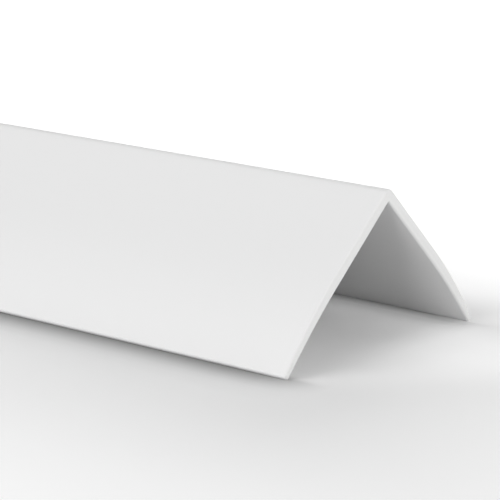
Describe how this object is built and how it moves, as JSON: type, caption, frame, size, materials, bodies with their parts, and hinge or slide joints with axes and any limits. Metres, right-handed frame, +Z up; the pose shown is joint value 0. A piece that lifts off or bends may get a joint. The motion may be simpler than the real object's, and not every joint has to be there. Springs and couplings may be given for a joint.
{
  "type": "external corner trim",
  "caption": "Rounded L-section strip that covers an outside wall corner, with equal legs that bow in to thin toes.",
  "frame": {"origin": "middle of the length and of the width, on the level of the floor that the toes lie on", "axes": "+X along the trim, +Z up through the rounded crown, +Y across from one leg to the other"},
  "size_m": [1, 0.0698, 0.0354],
  "materials": {
    "white_pvc": "smooth satin white, as extruded"
  },
  "bodies": {
    "root": {"corner_trim": "white_pvc"}
  },
  "joints": []
}
